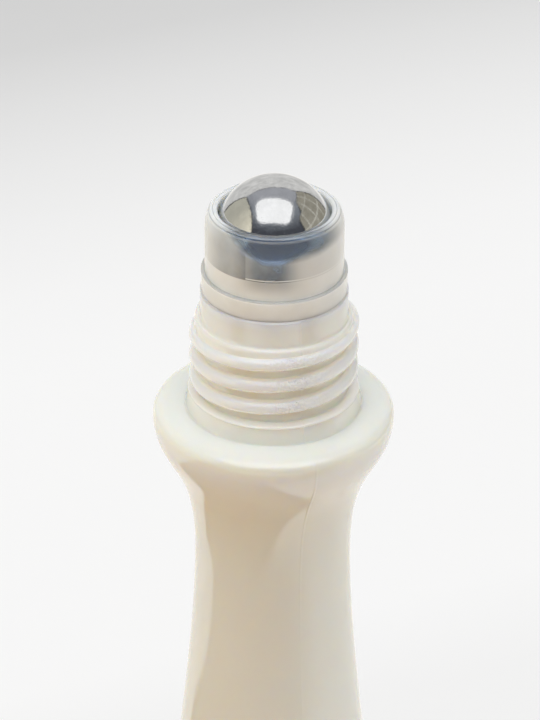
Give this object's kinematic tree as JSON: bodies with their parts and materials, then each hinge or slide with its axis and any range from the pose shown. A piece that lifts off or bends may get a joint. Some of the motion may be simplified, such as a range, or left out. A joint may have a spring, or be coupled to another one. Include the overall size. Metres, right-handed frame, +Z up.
{
  "type": "roll on bottle",
  "caption": "Waisted moulded bottle with a screw neck and a rounded shoulder, closed by a plug-in housing whose lip holds a steel roller ball.",
  "frame": {"origin": "centre of the foot, on the surface that the bottle stands on", "axes": "+Z up along the bottle's axis, through the neck and the ball; -Y faces the viewer of the picture"},
  "size_m": [0.0214, 0.0214, 0.0861],
  "materials": {
    "bottle_plastic": "glossy ivory, slightly translucent",
    "housing_plastic": "natural milky, translucent, semi-gloss",
    "ball_steel": "mirror polished"
  },
  "bodies": {
    "bottle": {"bottle": "bottle_plastic", "roller_housing": "housing_plastic"},
    "ball": {"roller_ball": "ball_steel"}
  },
  "joints": [
    {"name": "ball_roll", "type": "hinge", "parent": "bottle", "child": "ball", "pos_m": [0, 0, 0.08115], "axis": [1, 0, 0], "continuous": true}
  ]
}
